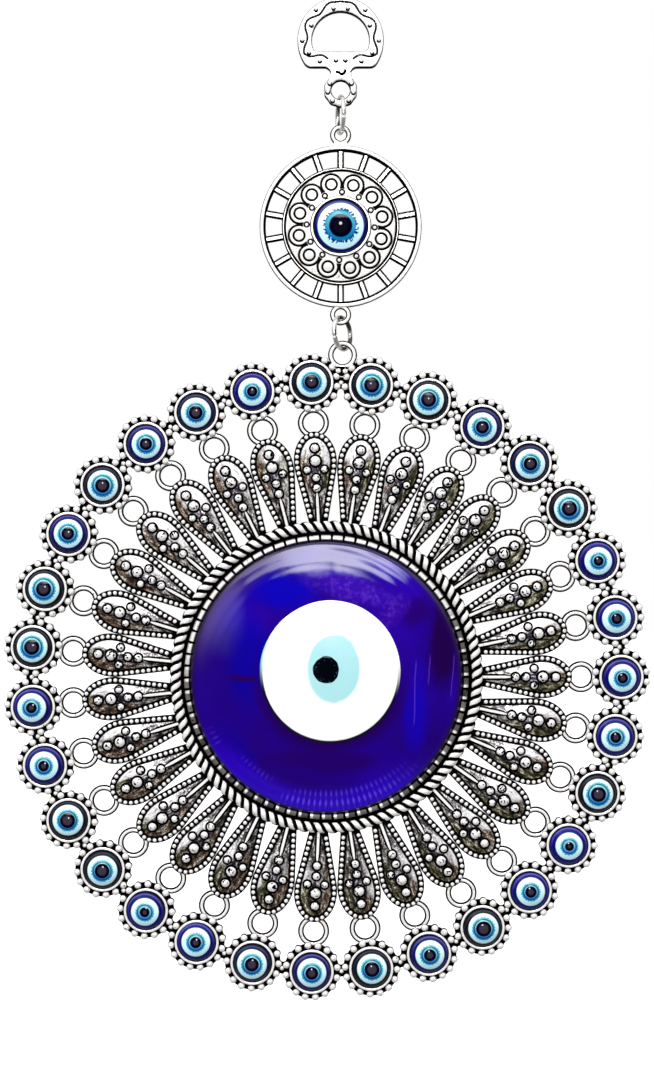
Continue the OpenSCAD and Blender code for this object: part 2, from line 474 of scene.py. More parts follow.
def petal_silver():
    """Pillowed petal middles: painted highlight where they face up, painted shade and warm painted
    reflection where they face down.
    """
    looks = Looks("antique_field")
    across, along, number = looks.parts("marks")

    def streaks(scale_across, scale_along, detail):
        stretched = {0: across * scale_across, 1: along * scale_along, 2: number * 3.7}
        return looks.noise(1.0, detail, looks.node("CombineXYZ", {}, stretched))

    broad = streaks(0.42, 0.17, 2.0)
    fine = streaks(1.5, 0.5, 3.0)
    # Painted light by which way the surface faces: a painted highlight where it faces up, painted shade
    # with a warm painted reflection where it faces down
    _, backward, upward = looks.split(looks.where("Normal"))
    lean = upward + (broad - 0.5) * 0.45
    down = looks.step(lean, 0.12, -0.02)
    side = looks.step(across, -0.9, 0.9)
    tan = looks.ramp(fine, [(0.36, seen(62, 46, 40)), (0.49, seen(150, 122, 102)),
                            (0.58, seen(218, 198, 172)), (0.66, srgb(250, 244, 232))])
    olive = looks.ramp(fine, [(0.36, seen(48, 48, 36)), (0.49, seen(116, 112, 78)),
                              (0.58, seen(202, 196, 154)), (0.66, srgb(248, 246, 230))])
    painted_underside_tint = looks.mix(side, tan, olive)
    # Painted dark reflection in the middle between the granules, where the surface does not face up
    painted_dark_reflection = looks.ramp(fine, [(0.38, seen(36, 32, 42)), (0.52, seen(112, 104, 118)),
                             (0.62, srgb(228, 224, 230))])
    belly = looks.step(along, 47.0, 50.0) * looks.step(along, 58.0, 55.0)
    middle = looks.step(abs(across), 2.4, 1.0) * belly
    bright = looks.ramp(fine, [(0.27, srgb(110, 104, 108)), (0.39, srgb(224, 220, 224)),
                               (0.47, srgb(252, 251, 252))])
    root = looks.ramp(fine, [(0.41, srgb(52, 48, 50)), (0.50, srgb(166, 160, 160)),
                             (0.60, srgb(250, 249, 248))])
    colour = looks.mix(down, bright, painted_underside_tint)
    colour = looks.mix(middle * looks.step(lean, 0.16, 0.02), colour, painted_dark_reflection)
    colour = looks.mix(looks.step(along, 50.0, 45.5, 0.0, 0.9), colour, root)
    # Dark specks, more of them on the petals low on the left and most where the petal faces down or near
    # its root: partly wear, partly painted shade
    below = looks.step(abs(number - 17.0), 10.0, 4.0)
    grit = streaks(2.9, 2.1, 2.0) + below * 0.05
    grit = looks.step(grit, 0.49, 0.57)
    shaded = looks.math("MAXIMUM", down, looks.step(along, 52.0, 46.0))
    colour = looks.mix(grit * looks.step(shaded, 0.0, 1.0, 0.25, 0.8), colour, seen(34, 30, 34))
    tone = looks.tone()
    colour = looks.mix(looks.step(tone, 0.3, 0.75), colour, srgb(6, 5, 6))
    plain = looks.ramp(looks.noise(1100, 3.0), [(0.35, srgb(150, 146, 142)), (0.60, srgb(206, 202, 198))])
    colour = looks.mix(looks.step(backward, 0.3, 0.7), colour, plain)
    looks.set(Base_Color=colour, Metallic=looks.step(tone, 0.7, 0.2, 0.0, 0.4), Roughness=0.3,
              Specular_IOR_Level=0.0)
    looks.bump(fine, 0.25, 0.0003)
    return looks.material


def drawn_wire(name):
    looks = Looks(name)
    streak = looks.noise(420, 2.0)
    # The tone is a dark band along the wire, a painted reflection
    darkness = looks.tone()
    bright = looks.ramp(streak, [(0.3, srgb(226, 222, 216)), (0.62, srgb(252, 251, 249))])
    looks.set(Base_Color=looks.mix(darkness, bright, srgb(40, 34, 26)), Metallic=0.75,
              Roughness=looks.step(streak, 0.3, 0.7, 0.10, 0.18))
    return looks.material


def cobalt_glass():
    """Deep blue glass: clearer blue where it is thin or lit from inside, violet-black in clouds."""
    looks = Looks("cobalt_glass")
    right, up, _ = looks.parts("spot")
    reach = looks.length(right, up)
    cloud = looks.noise(34, 4.0)
    squeezed = looks.node("VectorMath", {"operation": "MULTIPLY"},
                          {0: looks.where("Object"), 1: (0.6, 1.0, 1.0)})
    wisp = looks.noise(120, 4.0, squeezed)
    colour = looks.ramp(cloud, [(0.36, seen(38, 0, 124)), (0.50, seen(38, 1, 150)),
                                (0.64, seen(46, 3, 176))])

    def patch(colour, at, size, paint, lean=0.0):
        """Paints a soft cloud round a point of the glass."""
        c = math.cos(lean)
        s = math.sin(lean)
        off_u = right - at[0]
        off_v = up - at[1]
        across = off_u * (c / size[0]) + off_v * (s / size[0])
        along = off_v * (c / size[1]) - off_u * (s / size[1])
        away = looks.length(across, along)
        rough = away + (cloud - 0.5) * 1.1
        rough = rough + (wisp - 0.5) * 0.7
        return looks.mix(looks.step(rough, 1.1, 0.3), colour, paint)

    clouds = (((-0.58, 0.12), (0.20, 0.50), (10, 2, 172), 0.0),
              ((-0.34, 0.60), (0.30, 0.18), (14, 3, 184), 0.0),
              ((0.66, -0.20), (0.11, 0.42), (26, 2, 190), 0.0),
              ((-0.66, -0.56), (0.16, 0.30), (24, 1, 166), 0.6),
              ((0.40, -0.80), (0.30, 0.10), (30, 4, 186), 0.4),
              ((0.05, -0.60), (0.50, 0.10), (40, 0, 116), 0.0),
              ((0.84, 0.30), (0.14, 0.50), (34, 0, 78), 0.0),
              ((0.62, 0.50), (0.12, 0.20), (40, 0, 120), -0.7))
    for at, size, paint, lean in clouds:
        colour = patch(colour, at, size, seen(*paint), lean)
    # Painted light: deeper blue down the left edge, on the side of the stronger lamp
    left = looks.step(right, -0.35, -0.85) * looks.step(up, 0.5, 0.1)
    colour = looks.mix(left * 0.5, colour, seen(30, 1, 112))
    # Painted shadow: dark violet round the white drop, strongest below it
    near = looks.length(right - 0.026, up - 0.043)
    painted_lighting = looks.step(near, 0.62, 0.52) * looks.step(up, 0.25, -0.3, 0.1, 0.75)
    colour = looks.mix(painted_lighting, colour, seen(38, 0, 84))
    # Faint upright streaks on the right
    for at, low, high, half in ((0.740, 0.02, 0.17, 0.007), (0.915, -0.06, 0.18, 0.007),
                                (0.645, -0.28, 0.12, 0.008)):
        off = abs(right + (cloud - 0.5) * 0.1 - at)
        span = looks.step(up, low - 0.05, low) * looks.step(up, high + 0.05, high)
        share = looks.step(off, half, 0.0, 0.0, 0.6) * span
        colour = looks.mix(share, colour, seen(104, 56, 214))
    # Finely bubbled, paler glass above the white
    bubbles = looks.step(looks.noise(760, 4.0), 0.44, 0.66)
    colour = patch(colour, (0.16, 0.66), (0.44, 0.13),
                   looks.mix(bubbles, seen(58, 14, 176), seen(84, 38, 196)), -0.25)
    colour = patch(colour, (0.46, 0.50), (0.10, 0.20),
                   looks.mix(bubbles, seen(58, 8, 164), seen(80, 34, 184)), -0.6)
    colour = patch(colour, (-0.60, -0.035), (0.18, 0.03), seen(40, 0, 100))
    # Painted light on the fluted lower edge, where light comes through the thin glass in rows of small
    # cells
    angle = looks.math("ARCTAN2", right, up * -1.0)
    turns = angle * 141.0
    rows = looks.math("SINE", reach * 84.0)
    flute = looks.math("SINE", turns + wisp * 3.0)
    cell = looks.step(flute + rows * 0.5, 0.1, 1.4)
    lower = up + right * 0.12
    lit = looks.step(reach, 0.78, 0.9) * looks.step(lower, -0.45, -0.8)
    colour = looks.mix(lit * 0.9, colour, seen(50, 2, 208))
    spark = lit * cell * looks.step(looks.noise(90, 1.0), 0.42, 0.58)
    spark = spark * looks.step(reach, 0.985, 0.95)
    colour = looks.mix(spark * 0.9, colour, seen(104, 66, 255))
    # Greyed violet upper left edge, a painted reflection, and a dark line where the glass meets its setting
    pale = looks.step(reach, 0.8, 0.97) * (looks.step(right, -0.2, -0.62) * looks.step(up, -0.1, 0.35))
    colour = looks.mix(pale * 0.6, colour, seen(78, 50, 116))
    colour = looks.mix(looks.step(reach, 0.93, 0.99) * looks.step(lower, -0.75, -0.2), colour,
                       seen(40, 6, 84))
    colour = looks.mix(looks.step(reach, 0.965, 0.992), colour, seen(14, 2, 40))
    looks.set(Base_Color=colour, Roughness=0.06, Specular_IOR_Level=0.25, Coat_Weight=1.0,
              Coat_Roughness=0.015, Coat_IOR=1.5)
    return looks.material


def white_glass():
    looks = Looks("white_glass")
    right, up, _ = looks.parts("spot")
    reach = looks.length(right, up)
    veil = looks.step(reach, 0.955, 1.0) * looks.step(right, -0.75, -0.97)
    shade = looks.mix(veil, srgb(250, 251, 252), seen(150, 226, 250))
    # Dark rim along the lower edge of the white drop: a painted shadow
    under = looks.step(reach, 0.952, 0.968) * looks.step(up, 0.25, -0.3)
    looks.set(Base_Color=looks.mix(under, shade, seen(10, 2, 50)), Roughness=0.3, Coat_Weight=0.3,
              Coat_Roughness=0.03)
    return looks.material


def aqua_glass():
    """Pale drop that has run softly into the white around it."""
    looks = Looks("aqua_glass")
    right, up, _ = looks.parts("spot")
    reach = looks.length(right, up)
    soft = reach + (looks.noise(420) - 0.5) * 0.1
    looks.set(Base_Color=looks.mix(looks.step(soft, 0.87, 1.0), seen(184, 245, 249), srgb(250, 251, 252)),
              Roughness=0.3, Coat_Weight=0.3, Coat_Roughness=0.03)
    return looks.material


def black_glass():
    looks = Looks("black_glass")
    # Pale flecks round the edge of the pupil: painted glints
    painted_glints = looks.step(looks.noise(2600, 2.0), 0.66, 0.72)
    right, up, _ = looks.parts("spot")
    reach = looks.length(right, up)
    rim = painted_glints * looks.step(reach, 0.62, 0.85)
    looks.set(Base_Color=looks.mix(rim, seen(4, 6, 16), seen(150, 200, 215)), Roughness=0.5,
              Specular_IOR_Level=0.0, Coat_Weight=0.5, Coat_Roughness=0.03)
    return looks.material


def eye_resin(name, lash, line, core_tone, paints):
    """Printed eye under clear resin. bands holds where the outer ring, the iris and the pupil end.

    lash is how far the iris is frayed. line is how far inside its edge the dark line starts and
    ends. paints are pairs of colours, above and below: inside the line, on it and outside it. The
    paler colours above and the deeper ones below are painted light, as light through the dome falls.
    """
    looks = Looks(name)
    right, up, shade = looks.parts("spot")
    outer, iris, pupil = looks.parts("bands")
    reach = looks.length(right, up)
    angle = looks.math("ARCTAN2", right, up)
    wobble = looks.noise(900, 2.0) - 0.5
    teeth = looks.math("SINE", angle * 23.0 + wobble * 16.0)
    lashes = teeth * looks.step(looks.noise(420, 1.0), 0.35, 0.65, 0.3 * lash, lash)
    ragged = reach - lashes

    def past(edge, soft, value=reach):
        """1 outside an edge of the print and 0 inside it."""
        return looks.step(value - edge, -soft, soft)

    # Painted light: each print colour paler at the top and deeper at the bottom
    low = looks.step(up, 0.40, -0.45)
    pale, dark, fringe = [looks.mix(low, seen(*above), seen(*below)) for above, below in paints]
    colour = looks.mix(past(iris - line[0], 0.025), pale, dark)
    colour = looks.mix(past(iris - line[1], 0.025), colour, fringe)
    colour = looks.mix(past(iris, 0.02, ragged), colour,
                       looks.mix(low, srgb(220, 248, 253), srgb(204, 243, 254)))
    # Violet sheen along the top of the outer ring: a painted reflection
    rim = looks.step(abs(reach - 0.885), 0.055, 0.01)
    painted_lighting = rim * looks.step(up, -0.2, 0.75, 0.0, 0.7)
    navy = looks.mix(shade, seen(6, 5, 18), seen(10, 8, 124))
    navy = looks.mix(painted_lighting, navy, looks.mix(shade, seen(62, 64, 84), seen(112, 108, 204)))
    colour = looks.mix(past(outer, 0.014), colour, navy)
    line = looks.step(abs(reach - outer), 0.03, 0.008)
    colour = looks.mix(line * 0.75, colour, seen(4, 3, 40))
    colour = looks.mix(looks.step(reach, 0.93, 0.96), colour, seen(3, 2, 18))
    # The pupil's paler middle, in core_tone, is a painted reflection
    core = looks.mix(past(pupil - 0.13, 0.05), seen(*core_tone), seen(2, 3, 28))
    colour = looks.mix(past(pupil + 0.025, 0.02), core, colour)
    looks.set(Base_Color=colour, Roughness=0.5, Specular_IOR_Level=0.0, Coat_Weight=0.6,
              Coat_Roughness=0.02)
    return looks.material


ANTIQUE = cast_silver("antique_silver", 0.30, 0.2, 0.14, 0.5)
GRANULE = cast_silver("granule_silver", 0.30, 0.15, 0.14, 0.95, 0.575)
FIELD = petal_silver()
BRIGHT = cast_silver("bright_silver", 0.30, 0.28, 0.12, 0.25)
WIRE = drawn_wire("ring_wire")
COBALT = cobalt_glass()
WHITE = white_glass()
AQUA = aqua_glass()
BLACK = black_glass()
RESIN = eye_resin("eye_resin", 0.03, (0.145, 0.075), (66, 57, 72),
                  (((156, 232, 240), (44, 150, 226)), ((16, 96, 128), (0, 70, 150)),
                   ((96, 204, 220), (50, 168, 222))))
LARGE_RESIN = eye_resin("large_eye_resin", 0.085, (0.07, 0.0), (16, 12, 26),
                        (((84, 190, 216), (10, 132, 204)), ((0, 96, 140), (0, 66, 148)),
                         ((0, 96, 140), (0, 66, 148))))


# ---------------------------------------------------------------- places

def middle(node):
    low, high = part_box(node)
    return (low + high) / 2


def joint_at(name):
    for joint in frame["joints"]:
        if joint["name"] == name:
            return joint["pos_m"]


HANGER = Place(0.0, 0.0)
stone_mid = middle("medallion_stone")
MEDALLION = Place(stone_mid.x, stone_mid.z)
setting_mid = middle("glass_setting")
pendant_bar = joint_at("pendant_tilt")
PENDANT = Place(setting_mid.x, setting_mid.z,
                math.atan2(pendant_bar[0] - setting_mid.x, pendant_bar[2] - setting_mid.z))


# What the pendant's castings share
CASTING = (PENDANT, "pendant", ANTIQUE, "antique_silver")


# ---------------------------------------------------------------- hanger

OPENING_R = 7.3
HANGER_R = 10.99
HANGER_MID = (0.0, -7.3)
HANGER_FLAT = -14.2
OPENING_FLAT = -10.15
HANGER_HALF_T = 1.5
EYE_MID = (0.0, -20.0)
EYE_R = 4.2


def resampled(path, count):
    """Path with count points, evenly spaced along it."""
    path = np.asarray(path, float)
    run = np.concatenate([[0.0], np.cumsum(np.linalg.norm(np.diff(path, axis=0), axis=1))])
    even = np.linspace(0.0, run[-1], count)
    return np.stack([np.interp(even, run, path[:, k]) for k in range(path.shape[1])], -1)


def arc(centre, radius, start, end, steps):
    """Points on an arc, by angle clockwise from straight up, in degrees."""
    turn = np.radians(np.linspace(start, end, steps))
    return np.stack([centre[0] + radius * np.sin(turn), centre[1] + radius * np.cos(turn)], -1)


def hanger_edges(count):
    """Right halves of the opening and of the outline with the neck, from the top down."""
    corner = 1.1
    drop = OPENING_FLAT - HANGER_MID[1]
    low = math.degrees(math.acos((drop + corner) / (OPENING_R - corner)))
    corner_mid = (HANGER_MID[0] + (OPENING_R - corner) * math.sin(math.radians(low)), OPENING_FLAT + corner)
    opening = np.concatenate([arc(HANGER_MID, OPENING_R, 0, low, 60), arc(corner_mid, corner, low, 180, 14),
                              [[0.0, OPENING_FLAT]]])
    outer_corner = 2.2
    drop = HANGER_FLAT - HANGER_MID[1]
    low = math.degrees(math.acos((drop + outer_corner) / (HANGER_R - outer_corner)))
    corner_mid = (HANGER_MID[0] + (HANGER_R - outer_corner) * math.sin(math.radians(low)),
                  HANGER_FLAT + outer_corner)
    neck = curve_through([(4.6, -14.2), (3.6, -14.32), (2.75, -15.0), (2.45, -15.9), (2.62, -16.8),
                          (2.95, -17.6), (2.1, -17.45), (1.1, -17.0), (0.0, -16.9)])
    outer = np.concatenate([arc(HANGER_MID, HANGER_R, 0, low, 60),
                            arc(corner_mid, outer_corner, low, 180, 14), neck])
    return resampled(opening, count), outer


def hanger_rows(outer, count):
    """Outline with count points, closer together round the top than down the neck."""
    run = np.concatenate([[0.0], np.cumsum(np.linalg.norm(np.diff(outer, axis=0), axis=1))])
    share = np.linspace(0.0, 1.0, count)
    even = run[-1] * (0.75 * share + 0.25 * share ** 2)
    return np.stack([np.interp(even, run, outer[:, k]) for k in range(2)], -1)


def engraved_path():
    """Right half of the wavy line that is engraved round the hanger's opening."""
    points = []
    for degrees in range(0, 114, 3):
        wave = math.cos(TURN * (max(degrees, 11) - 15) / 48)
        radius = 9.15 + 0.72 * wave
        turn = math.radians(degrees)
        points.append((radius * math.sin(turn), HANGER_MID[1] + radius * math.cos(turn)))
    tail = curve_through([points[-1], (8.0, -11.5), (6.9, -11.45), (5.6, -11.15), (4.4, -11.3),
                          (3.3, -12.0)])
    return np.array(points[:-1] + tail.tolist())


def make_hanger():
    half = 300
    across = 44
    opening, outer = hanger_edges(half)
    outer = hanger_rows(outer, half)
    mirror = np.array([-1.0, 1.0])
    opening = np.concatenate([opening, opening[-2:0:-1] * mirror])
    outer = np.concatenate([outer, outer[-2:0:-1] * mirror])
    share = np.linspace(0.0, 1.0, across)
    share = 0.5 - 0.5 * np.cos(math.pi * share) * (0.35 + 0.65 * np.abs(np.cos(math.pi * share)) ** 0.5)
    share = (share - share[0]) / (share[-1] - share[0])
    flat = opening[:, None] + share[None, :, None] * (outer - opening)[:, None]
    width = np.linalg.norm(outer - opening, axis=1)[:, None]
    from_edge = np.minimum(share[None] * width, (1 - share[None]) * width)
    ease = 0.45
    inside = np.clip(from_edge / ease, 0.0, 1.0)
    height = HANGER_HALF_T - ease * (1 - np.sqrt(1 - (1 - inside) ** 2))
    line = engraved_path()
    line = np.concatenate([line[::-1] * mirror, line[1:]])
    away = distance_to_path(flat.reshape(-1, 2), line).reshape(height.shape)
    faint = 0.6 + 0.4 * np.sin(3.1 * flat[..., 0] + 1.7 * flat[..., 1])
    groove = smooth(0.30, 0.16, away)
    height -= 0.22 * groove
    tone = groove * np.clip(0.75 + 0.4 * faint, 0.0, 1.0)
    # Dark band along every edge, where it rounds off: painted shade
    tone = np.maximum(tone, 0.95 * smooth(0.22, 0.05, from_edge))
    rows = len(opening)
    front = np.concatenate([flat, height[..., None]], -1)
    back = front[:, ::-1].copy()
    back[..., 2] = -HANGER_HALF_T
    back = back[:, [0, across - 1]]
    loops = np.concatenate([front, back], 1)
    tones = np.concatenate([tone, np.full((rows, 2), 0.3)], 1)
    shape = Shape()
    shape.add(loops, [grid(rows, across + 2, True, True)], tones)
    # Eye under the neck, with its lightly scalloped edge; its dark outer wall and the dark wall of its hole
    # are painted shade
    count = 180
    turn = TURN * np.arange(count) / count
    scallop = 0.09 * np.cos(10 * turn)
    steps = [(0.0, -1.2), (0.0, 1.0), (-0.12, 1.3), (-0.4, 1.46), (-1.42, 1.46), (-1.68, 1.26),
             (-1.83, 0.85), (-1.83, -0.9), (-1.66, -1.2)]
    radius = [EYE_R + inset + scallop * (inset > -0.5) for inset, _ in steps]
    ring(shape, np.array(radius), [h for _, h in steps], [0.5, 0.9, 0.5, 0.0, 0.0, 0.7, 1.0, 1.0, 0.6],
         count, EYE_MID)
    # Small raised dots round the opening and on the eye, each with a dark disc set a little below it: a
    # painted shadow
    dot = bead(0.42, 0.0, -0.5, 14, 4, 0.55, 0.2)
    shade = Shape()
    turned(shade, [(0, -0.5, 1), (0.64, -0.5, 1), (0.64, 0.03, 1), (0, 0.03, 1)], 16)
    spots = []
    for degrees, radius in ((12.5, 8.45), (38.5, 10.1), (62, 8.45), (89.5, 9.75), (111, 8.55)):
        spots.append((radius * math.sin(math.radians(degrees)),
                      HANGER_MID[1] + radius * math.cos(math.radians(degrees))))
    spots += [(5.3, -12.45), (1.2, -12.2)]
    for u, v in spots:
        for side in (-1, 1):
            shape.add_shape(dot, 0.0, (side * u, v, HANGER_HALF_T))
            shape.add_shape(shade, 0.0, (side * u, v - 0.3, HANGER_HALF_T))
    for degrees in (58, 100, 142, 218, 262, 302):
        u = EYE_MID[0] + 3.3 * math.sin(math.radians(degrees))
        v = EYE_MID[1] + 3.3 * math.cos(math.radians(degrees))
        shape.add_shape(dot, 0.0, (u, v, 1.42))
        shape.add_shape(shade, 0.0, (u, v - 0.2, 1.46))
    # Plain curl on the neck
    curl = curve_through([(-1.25, -15.35), (-0.55, -15.55), (0.15, -15.95), (0.75, -15.85), (1.15, -15.2),
                          (1.05, -14.7)])
    path = np.concatenate([curl, np.full((len(curl), 1), HANGER_HALF_T - 0.22)], 1)
    tube(shape, path, 0.42, 1.0, 10)
    piece("hanger_casting", shape, HANGER, "hanger", BRIGHT, "bright_silver", ["hanger"])


# ---------------------------------------------------------------- jump rings

WIRE_R = 0.6


def make_jump_ring(name, body, joint, node, radius, turn, lean):
    """Wire ring that hangs from its joint, with the cut where the wire's ends meet at the back."""
    top = np.array(joint_at(joint)) / MM
    count = 96
    gap = 0.012
    around = np.linspace(gap, TURN - gap, count) + math.radians(100)
    turn = math.radians(turn)
    lean = math.radians(lean)
    y = -radius * np.sin(around)
    z = radius * np.cos(around) - radius
    x = -y * math.sin(turn)
    y = y * math.cos(turn)
    x, z = x * math.cos(lean) + z * math.sin(lean), z * math.cos(lean) - x * math.sin(lean)
    path = np.stack([top[0] + x, top[2] + z, -(top[1] + y)], -1)
    shape = Shape()
    # Dark band along one side of the wire, wandering a little: a painted reflection
    streak = np.cos(TURN * np.arange(20) / 20 - 2.2)[None] + 0.5 * np.sin(5.0 * around)[:, None]
    tube(shape, path, WIRE_R, 0.9 * smooth(0.35, 0.9, streak), 20)
    piece(name, shape, Place(0.0, 0.0), body, WIRE, "ring_wire", [node])


# ---------------------------------------------------------------- medallion

ROSETTES = 12
ROSETTE_AT = 10.85
EYELET_R = 2.05
EYELET_WIRE_R = 0.65
SLACK = 0.2


def hub_relief(u, v):
    """Height and tone of the medallion's hub."""
    reach = np.hypot(u, v)
    turn = np.arctan2(u, v)
    height = 1.95 - 0.85 * (reach / 14.0) ** 2
    tone = np.full(reach.shape, 0.0)
    sector = TURN / ROSETTES
    offset = math.radians(17.4)
    near = (turn - offset + sector / 2) % sector - sector / 2
    across = reach * np.sin(near)
    along = reach * np.cos(near) - ROSETTE_AT
    centre = np.hypot(across, along)
    lobe = 2.62
    in_field = (reach > 7.7) & (reach < 14.1)
    outside = in_field & (centre > lobe) & (reach > 9.2)
    rough = 0.5 + 0.5 * np.sin(5.3 * u + 2.1 * np.sin(3.7 * v)) * np.sin(4.9 * v + 1.9 * np.sin(4.1 * u))
    tone = np.where(outside, 0.05 + 0.3 * smooth(0.60, 0.95, rough), tone)
    height = np.where(outside, height - 0.22 + 0.08 * rough, height)
    fade = 0.62 + 0.38 * np.cos(turn - math.radians(120))
    circle = smooth(0.34, 0.18, np.abs(centre - 1.42))
    lobe_line = smooth(0.36, 0.18, np.abs(centre - lobe)) * (reach > 9.6)
    seat = smooth(1.25, 0.9, centre)
    line = np.where(in_field, np.maximum(circle, lobe_line), 0.0)
    height = height - 0.28 * line + np.where(in_field, 0.04 * smooth(0.9, 0.2, centre), 0.0)
    tone = np.maximum(tone, line * (0.85 + 0.15 * fade))
    tone = np.where(in_field & (centre < 1.2), np.maximum(0.12 * seat, tone), tone)
    # Pits with a small pearl between neighbouring rings, next to the stone's bezel
    half = (turn - offset) % sector - sector / 2
    pit = np.hypot(reach * np.sin(half), reach * np.cos(half) - 8.65)
    in_pit = smooth(0.90, 0.70, pit)
    height -= 0.35 * in_pit
    tone = np.maximum(tone, in_pit)
    pearl = smooth(0.58, 0.3, pit)
    height += 0.5 * pearl
    tone = np.where(pearl > 0.5, 0.05, tone)
    # Bezel round the stone and the raised border at the edge
    bezel = smooth(6.98, 7.12, reach) * smooth(7.72, 7.5, reach)
    height = np.where(reach < 7.75, 1.7 + 0.85 * bezel, height)
    tone = np.where(reach < 7.85, 1.0 - bezel, tone)
    height = np.where(reach < 6.97, 0.5, height)
    groove = smooth(0.36, 0.16, np.abs(reach - 14.2))
    border = smooth(14.38, 14.52, reach)
    height = height - 0.35 * groove
    height = height * (1 - border) + 1.6 * border - 0.5 * smooth(14.8, 15.0, reach)
    tone = np.maximum(np.where(reach > 14.1, 0.0, tone), groove)
    # Dark outer edge of the hub, where it falls away: painted shade
    tone = np.maximum(tone, smooth(14.62, 14.74, reach))
    return height, tone


def make_medallion():
    count = 720
    radii = np.concatenate([[6.6], np.linspace(6.9, 8.0, 16), np.linspace(8.08, 13.9, 62),
                            np.linspace(13.97, 15.0, 16)])
    turn = TURN * np.arange(count) / count
    u = radii[::-1, None] * np.sin(turn)
    v = radii[::-1, None] * np.cos(turn)
    height, tone = hub_relief(u, v)
    front = np.stack([u, v, height], -1)
    outer_back = np.stack([u[0], v[0], np.full(count, -1.1)], -1)[None]
    inner_back = np.stack([u[-1], v[-1], np.full(count, -1.1)], -1)[None]
    rows = np.concatenate([outer_back, front, inner_back])
    tones = np.concatenate([np.full((1, count), 0.3), tone, np.full((1, count), 0.3)])
    hub = Shape()
    hub.add(rows, [grid(len(rows), count, True, True)], tones)
    turned(hub, [(0, -1.08, 0.3), (6.7, -1.08, 0.3), (6.7, 0.38, 1.0), (0, 0.38, 1.0)], 96)
    piece("medallion_hub", hub, MEDALLION, "medallion", BRIGHT, "bright_silver", ["medallion_frame"])

    frame_shape = Shape()
    # Rim whose inner slope is black, a painted shade where it falls away to the windows
    section = [(20.65, -0.8, 0.3), (20.65, 0.35, 0.4), (20.55, 0.75, 0.7), (20.4, 0.95, 0.0),
               (20.0, 1.0, 0.0), (19.74, 1.0, 0.0), (19.64, 0.95, 1.0), (19.5, 0.85, 1.0),
               (19.38, 0.8, 1.0), (19.24, 0.72, 1.0), (19.12, 0.5, 1.0), (19.1, -0.8, 1.0),
               (19.6, -1.0, 0.3), (20.4, -1.0, 0.3)]
    ring(frame_shape, [p[0] for p in section], [p[1] for p in section], [p[2] for p in section], 360)
    # Spokes with black sides, a painted shade, either side of a bright crest
    spoke = Shape()
    section = [(-0.88, 1.0), (-0.86, 1.0), (-0.46, 1.0), (-0.36, 0.0), (0.36, 0.0), (0.46, 1.0),
               (0.86, 1.0), (0.88, 1.0)]
    heights = [-0.75, 0.36, 0.46, 0.62, 0.62, 0.46, 0.36, -0.75]
    loops = []
    for at in (14.7, 16.0, 17.3, 18.6, 19.6):
        sag = 0.12 * math.sin((at - 14.7) * 2.2)
        loops.append([(w * (1 - 0.15 * sag), at, h - abs(sag) * 0.4)
                      for (w, _), h in zip(section, heights)])
    loft(spoke, loops, np.array([t for _, t in section]))
    for i in range(18):
        frame_shape.add_shape(spoke, TURN * i / 18)
    # Loops above and below
    upper = joint_at("medallion_tilt")[2] / MM - MEDALLION.z / MM - EYELET_R
    lower = joint_at("lower_ring_swing")[2] / MM - MEDALLION.z / MM + EYELET_R - EYELET_WIRE_R
    lower = lower - SLACK - WIRE_R
    for at in (upper, lower):
        lean = np.arange(16) * TURN / 16
        radius = EYELET_R + EYELET_WIRE_R * np.cos(lean)
        height = EYELET_WIRE_R * np.sin(lean)
        # Black inner and outer sides of the wire: painted shade
        edge = smooth(0.50, 0.76, np.abs(np.cos(lean)))
        ring(frame_shape, radius, height, edge, 64, (0.0, at))
    block(frame_shape, (-1.7, 19.9, -0.7), (1.7, upper - 1.75, 0.7), 0.05)
    block(frame_shape, (-1.2, lower + 1.75, -0.7), (1.2, -19.9, 0.7), 0.05)
    piece("medallion_rim", frame_shape, MEDALLION, "medallion", BRIGHT, "bright_silver")

    stone = Shape()
    dome(stone, (0.0, 0.0), 6.93, 0.42, 2.15, 4.4, 40, 96)
    piece("medallion_eye_stone", stone, MEDALLION, "medallion", LARGE_RESIN, "eye_resin",
          ["medallion_stone"], spot=(0.0, -0.1, 6.93, 1.0), bands=(0.86, 0.62, 0.40))


def dome(shape, centre, radius, seat_h, edge_h, top_h, steps, count):
    """Polished stone: straight edge from seat_h to edge_h under a ball-shaped top."""
    rise = top_h - edge_h
    curve = (radius * radius + rise * rise) / (2 * rise)
    full = math.asin(radius / curve)
    profile = [(0.0, seat_h, 0.0), (radius, seat_h, 0.0)]
    for k in range(steps):
        lift = full * (1 - k / steps)
        profile.append((curve * math.sin(lift), top_h - curve * (1 - math.cos(lift)), 0.0))
    profile.append((0.0, top_h, 0.0))
    turned(shape, profile, count, centre)


# ---------------------------------------------------------------- petals

PETAL_MID = 55.1
PETAL_TIP = 61.9
PETAL_HALF_W = 4.73
PETAL_ROOT = 39.3
BEAD_R = 0.64


def bead_line():
    """Right half of the line of beads round a petal, from its root to its tip."""
    bend = 52.34
    knee = PETAL_HALF_W * math.sqrt(1 - ((bend - PETAL_MID) / 8.0) ** 2)
    points = []
    for at in np.linspace(PETAL_ROOT, bend, 26):
        points.append((knee - 0.22 * (bend - at), at))
    for lift in np.linspace(-math.asin((PETAL_MID - bend) / 8.0), 0.0, 8)[1:]:
        points.append((PETAL_HALF_W * math.cos(lift), PETAL_MID + 8.0 * math.sin(lift)))
    for lift in np.linspace(0.0, math.pi / 2, 30)[1:]:
        points.append((PETAL_HALF_W * math.cos(lift), PETAL_MID + (PETAL_TIP - PETAL_MID) * math.sin(lift)))
    return np.array(points)


def field_half_width(at):
    line = bead_line()
    return np.interp(at, line[:, 1], line[:, 0]) - 0.9


def field_height(across, at):
    """Height of the petal's pillowed middle."""
    half = np.maximum(field_half_width(at), 0.05)
    return 0.46 + 0.175 * half * (1 - np.clip(np.abs(across) / half, 0, 1) ** 2)


